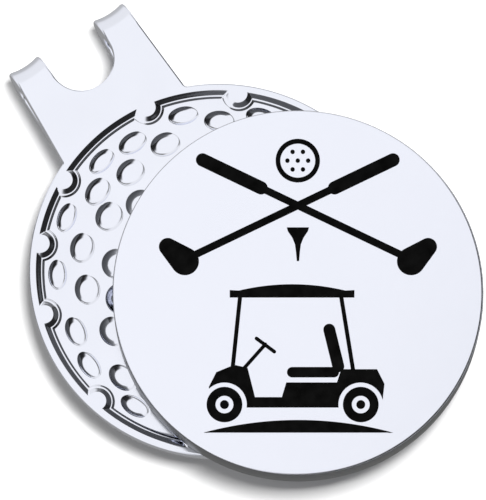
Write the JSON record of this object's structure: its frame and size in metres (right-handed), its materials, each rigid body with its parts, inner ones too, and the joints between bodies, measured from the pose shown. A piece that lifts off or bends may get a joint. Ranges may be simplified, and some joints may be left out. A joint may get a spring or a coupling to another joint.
{
  "type": "magnetic golf ball marker with hat clip",
  "caption": "Round coin ball marker held by a magnet on a folded hat clip with a dimpled round plate and a notched fold.",
  "frame": {"origin": "on the table the clip lies on, straight under the centre of the round plate, on the clip's plane of symmetry", "axes": "+Z out of the plate towards the marker, +Y from the plate's centre to the fold, +X to the right of the fold seen from above"},
  "size_m": [0.0287, 0.0366, 0.0075],
  "materials": {
    "clip_metal": "bright silver plating",
    "magnet_plating": "nickel plated",
    "adhesive": "cured epoxy",
    "marker_metal": "white silver face with a darker steel edge",
    "black_enamel": "gloss, raised"
  },
  "bodies": {
    "clip": {"clip_plate": "clip_metal", "clip_fold": "clip_metal", "magnet": "magnet_plating", "magnet_adhesive": "adhesive"},
    "tongue": {"clip_tongue": "clip_metal"},
    "marker": {"marker_blank": "marker_metal", "print_clubs": "black_enamel", "print_ball": "black_enamel", "print_buggy": "black_enamel", "print_wheels": "black_enamel", "print_ground": "black_enamel"}
  },
  "joints": [
    {"name": "tongue_flex", "type": "hinge", "parent": "tongue", "child": "clip", "pos_m": [0, 0.01735, 0.0022], "axis": [-1, 0, 0], "range_deg": [0, 8], "stiffness_Nm_per_rad": 1.4, "deforming": ["clip_fold"]},
    {"name": "marker_lift", "type": "slide", "parent": "clip", "child": "marker", "axis": [0, 0, 1], "range_m": [0, 0.012], "stiffness_N_per_m": 50, "springref_m": -0.01}
  ]
}
